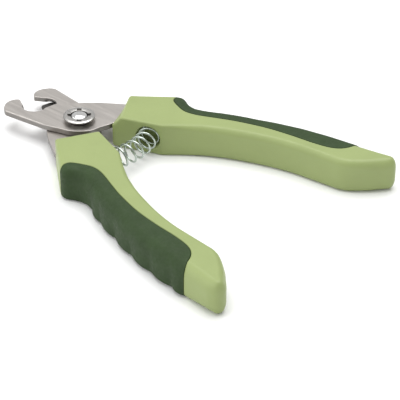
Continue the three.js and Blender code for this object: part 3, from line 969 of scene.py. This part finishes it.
class TRIMMER_OT_return_spring(PieceOperator):
    """Winds the return spring between the floors of the two sockets"""

    bl_idname = "trimmer.return_spring"
    bl_label = "Return Spring"

    def build(self, sizes):
        centre, inward = socket_place()
        tilt = math.atan2(inward[1], inward[0]) - math.pi / 2
        bend = centre[1] / math.sin(tilt)
        wire = sizes.wire_radius / MM
        tree, keys = coil_tree(wire_finish())
        coil = grown_by_nodes(bpy.data.meshes.new("coil"), tree, keys, {
            "Coil Radius": sizes.coil_radius / MM, "Wire Radius": wire, "Turns": sizes.coil_turns,
            "Points per Turn": 40, "Bend Radius": bend, "Bend Centre": centre[0] - bend * math.cos(tilt),
            "Half Bend": tilt, "Straight": SOCKET_DEPTH - wire - 0.6, "Height": HANDLE_THICK / 2})
        spring = finished("return_spring_wound", coil, "spring_wire", None, "return_spring")
        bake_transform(spring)


class TRIMMER_OT_nail_stop(PieceOperator):
    """Builds the nail stop's plate, washer and slotted screw"""

    bl_idname = "trimmer.nail_stop"
    bl_label = "Nail Stop"

    def build(self, sizes):
        half, length, corner = 3.5, 15.6, 1.8
        ends = [(length - corner, -half + corner), (length - corner, half - corner)]
        round_end = arc((0, 0), half, math.pi / 2, 1.5 * math.pi)
        tips = [arc(ends[0], corner, -math.pi / 2, 0, 8), arc(ends[1], corner, 0, math.pi / 2, 8)]
        runs = [round_end, [round_end[-1], tips[0][0]], tips[0], [tips[0][-1], tips[1][0]], tips[1],
                [tips[1][-1], round_end[0]]]
        plan = dense(runs, 0.3)
        low, high = STOP_PLATE_Z
        edge = 0.25
        turns = np.linspace(0, math.pi / 2, 4)
        steps = [(edge * (1 - math.cos(t)), low + edge * (1 - math.sin(t))) for t in turns[::-1]]
        steps += [(edge * (1 - math.cos(t)), high - edge * (1 - math.sin(t))) for t in turns]
        plate = skin([level(grown(plan, -inset), z) for inset, z in steps])
        place = Matrix.Translation((*STOP_SCREW, 0)) @ Matrix.Rotation(math.radians(166), 4, "Z")
        # The plate's near-black finish is painted shade from the blades above it.
        finished("nail_stop_plate_blanked", cut_from(plate, [through_hole((0, 0), STOP_HOLE_R, low, high)]),
                 "shade_painted_steel", "nail_stop", "nail_stop_plate", place)
        washer = [(STOP_HOLE_R, 2.7), (2.7, 2.7), (2.7, 3.2), (STOP_HOLE_R, 3.2)]
        finished("nail_stop_washer_pressed", turned(rounded(washer, 0.12, True), closed=True, around=64),
                 "hardware_steel", "nail_stop", "nail_stop_washer", Matrix.Translation((*STOP_SCREW, 0)))
        screw = [(0, 1.2), (2.4, 1.2), (2.9, 1.6), (2.9, 2.4), (STOP_SHANK_R, 2.4), (STOP_SHANK_R, 7.2), (0, 7.2)]
        slot = box_mesh((9, 0.8, 0.8), Matrix.Translation((0, 0, 1.2)) @ Matrix.Rotation(math.radians(25), 4, "Z"))
        finished("nail_stop_screw_slotted", cut_from(turned(rounded(screw, 0.2), around=64), [slot]),
                 "hardware_steel", "lower_half", "nail_stop_screw", Matrix.Translation((*STOP_SCREW, 0)))


def area_light(name, place, target, size, watts, colour=(1, 1, 1)):
    data = bpy.data.lights.new(name, "AREA")
    data.shape, data.size, data.size_y = "RECTANGLE", size[0], size[1]
    data.energy, data.color = watts, colour
    lamp = bpy.data.objects.new(name, data)
    lamp.location = place
    lamp.rotation_euler = (Vector(target) - Vector(place)).to_track_quat("-Z", "Y").to_euler()
    bpy.context.scene.collection.objects.link(lamp)


class TRIMMER_OT_stage(bpy.types.Operator):
    """Sets the pale floor, the soft studio lights and the camera"""

    bl_idname = "trimmer.stage"
    bl_label = "Stage"
    bl_options = {"REGISTER", "UNDO"}

    def execute(self, context):
        scene = context.scene
        scene.view_settings.view_transform = "Standard"
        floor_mesh = bpy.data.meshes.new("studio_floor")
        reach = 4.0
        floor_mesh.from_pydata([(-reach, -reach, 0), (reach, -reach, 0), (reach, reach, 0), (-reach, reach, 0)], [],
                               [(0, 1, 2, 3)])
        floor_mesh.transform(Matrix.Translation((0, 0, -0.0001)))
        paint, bench, surface, place = shader("floor_paint", {"Specular IOR Level": 0.2})
        shaded(bench, surface, colours().floor, 0.01, grain(bench, place, 3, 2.0))
        bench.join(grain(bench, place, 40, 2.0, 0.75, 0.85), surface.inputs["Roughness"])
        floor_mesh.materials.append(paint)
        floor = bpy.data.objects.new("studio_floor", floor_mesh)
        scene.collection.objects.link(floor)

        world = bpy.data.worlds.new("studio")
        world.use_nodes = True
        backdrop = world.node_tree.nodes["Background"]
        backdrop.inputs["Color"].default_value = (1, 1, 1, 1)
        backdrop.inputs["Strength"].default_value = 0.6
        scene.world = world
        middle = (0, 0, 0)
        area_light("overhead_softbox", (-0.15, 0.25, 1.3), middle, (1.3, 1.3), 18)
        area_light("front_softbox", (-0.7, -1.0, 0.65), middle, (1.8, 1.2), 9)

        azimuth, elevation, distance = math.radians(40.2214), math.radians(34.1537), 0.693518
        target = Vector((0.031192, -0.010589, 0.0075))
        back = Vector((math.sin(azimuth) * math.cos(elevation), -math.cos(azimuth) * math.cos(elevation),
                       math.sin(elevation)))
        data = bpy.data.cameras.new("camera")
        data.sensor_width, data.lens = 36, 154.95
        camera = bpy.data.objects.new("camera", data)
        camera.location = target + back * distance
        camera.rotation_euler = back.to_track_quat("Z", "Y").to_euler()
        scene.collection.objects.link(camera)
        scene.camera = camera
        return {"FINISHED"}


STEPS = (TRIMMER_OT_blades, TRIMMER_OT_handle_cores, TRIMMER_OT_handle_grips, TRIMMER_OT_pivot,
         TRIMMER_OT_return_spring, TRIMMER_OT_nail_stop, TRIMMER_OT_stage)


class TRIMMER_PT_panel(bpy.types.Panel):
    """Sizes, colours and building steps of the nail trimmer"""

    bl_idname = "TRIMMER_PT_panel"
    bl_label = "Nail Trimmer"
    bl_space_type = "VIEW_3D"
    bl_region_type = "UI"
    bl_category = "Trimmer"

    def draw(self, context):
        for title, group in (("Sizes", context.scene.trimmer_sizes), ("Colours", context.scene.trimmer_colours)):
            column = self.layout.column(heading=title)
            for key in group.__annotations__:
                column.prop(group, key)
        for step in STEPS:
            self.layout.operator(step.bl_idname)


CLASSES = (TrimmerSizes, TrimmerColours, *STEPS, TRIMMER_PT_panel)


def register():
    for cls in CLASSES:
        bpy.utils.register_class(cls)
    bpy.types.Scene.trimmer_sizes = PointerProperty(type=TrimmerSizes)
    bpy.types.Scene.trimmer_colours = PointerProperty(type=TrimmerColours)


def unregister():
    del bpy.types.Scene.trimmer_colours, bpy.types.Scene.trimmer_sizes
    for cls in reversed(CLASSES):
        bpy.utils.unregister_class(cls)


def main():
    register()
    for step in STEPS:
        group, call = step.bl_idname.split(".")
        getattr(getattr(bpy.ops, group), call)()


if __name__ == "__main__":
    main()
